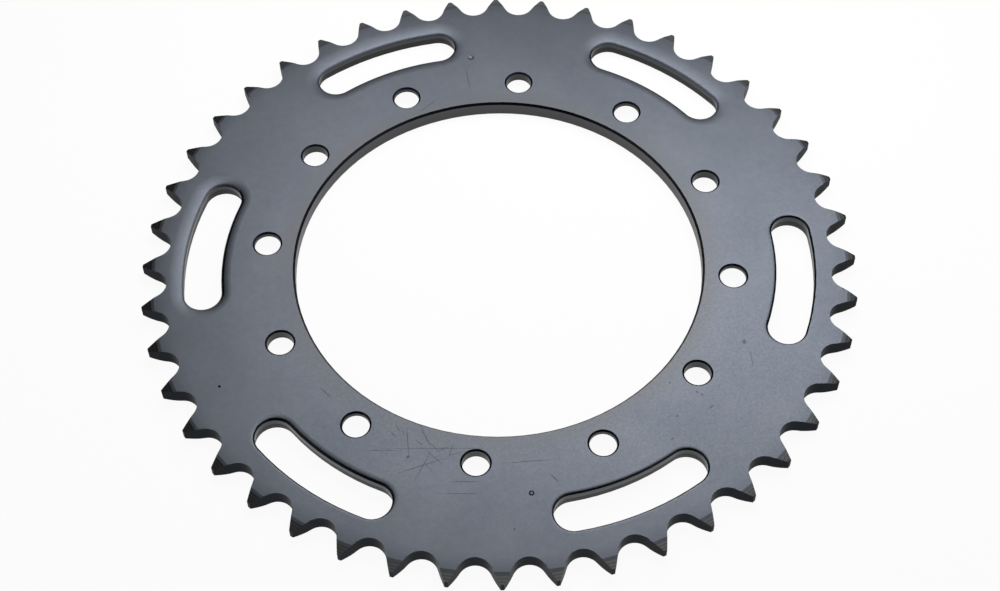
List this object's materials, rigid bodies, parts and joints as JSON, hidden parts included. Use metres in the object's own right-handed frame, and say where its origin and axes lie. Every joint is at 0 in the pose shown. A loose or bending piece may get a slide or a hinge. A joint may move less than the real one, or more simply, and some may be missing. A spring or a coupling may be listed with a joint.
{
  "type": "chain sprocket",
  "caption": "Flat toothed steel ring for a motorcycle roller chain, with a large bore, a circle of bolt holes and curved lightening slots.",
  "frame": {"origin": "on the bore axis, at the underside that the plate lies on", "axes": "+Z along the bore axis towards the plain hub side, +X through the centre of a bolt hole"},
  "size_m": [0.2288, 0.2288, 0.0055],
  "materials": {
    "black_oxide_steel": "satin black oxide on ground steel plate, greyer on the cut walls"
  },
  "bodies": {
    "root": {"sprocket": "black_oxide_steel"}
  },
  "joints": []
}
